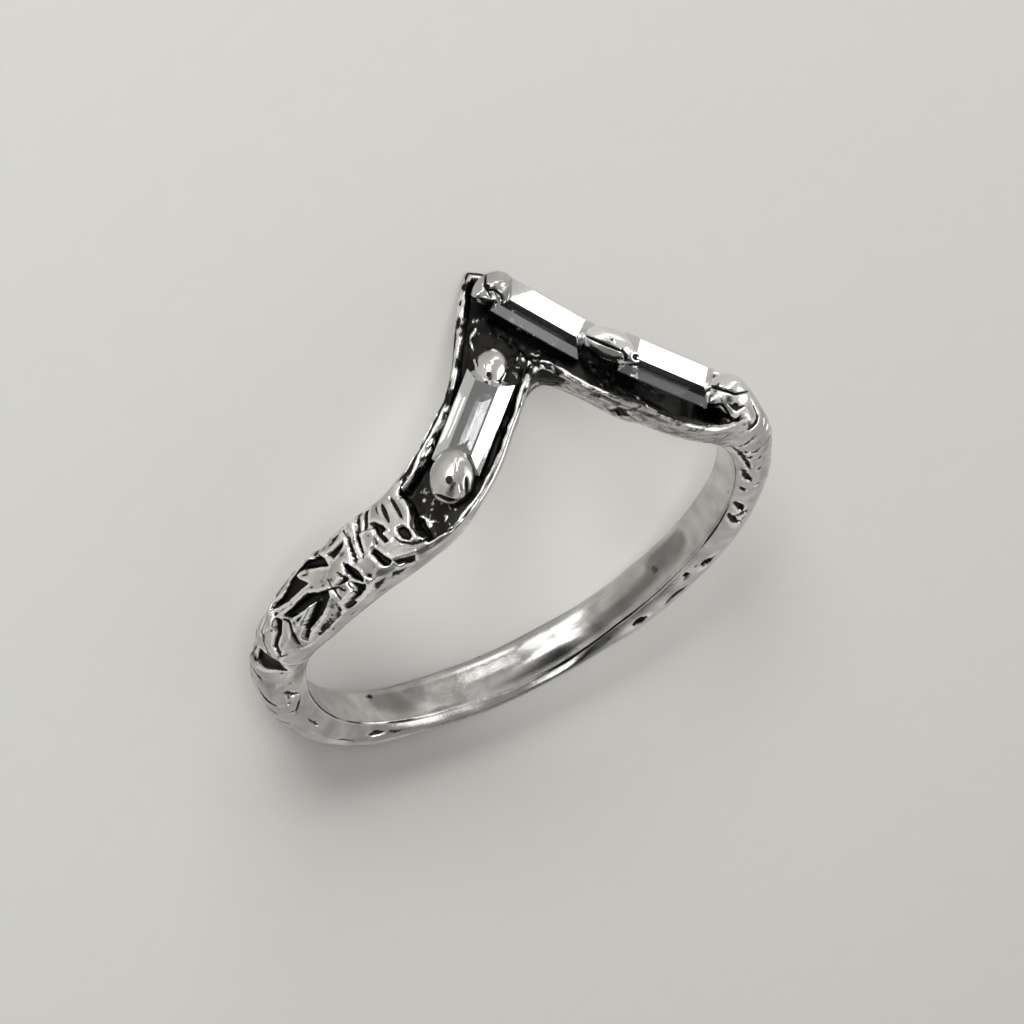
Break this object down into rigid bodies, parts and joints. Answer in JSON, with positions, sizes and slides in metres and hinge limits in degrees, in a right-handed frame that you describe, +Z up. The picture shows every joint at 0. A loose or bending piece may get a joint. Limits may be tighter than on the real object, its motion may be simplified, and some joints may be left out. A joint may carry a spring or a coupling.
{
  "type": "crown ring",
  "caption": "Narrow silver ring rising into an uneven V, with step-cut baguettes in its trough held by bead prongs, lying on its side.",
  "frame": {"origin": "centre of the outline's footprint, on the floor that the ring lies on", "axes": "+Z up from the floor, -Y towards the V's peak, which rests on the floor; the finger axis leans about 17 degrees from +Z"},
  "size_m": [0.0208, 0.0218, 0.0078],
  "materials": {
    "silver": "polished highs over blackened recesses",
    "stone": "colourless step-cut stone"
  },
  "bodies": {
    "root": {"band": "silver", "stone_upper": "stone", "stone_lower": "stone", "stone_single": "stone"}
  },
  "joints": []
}
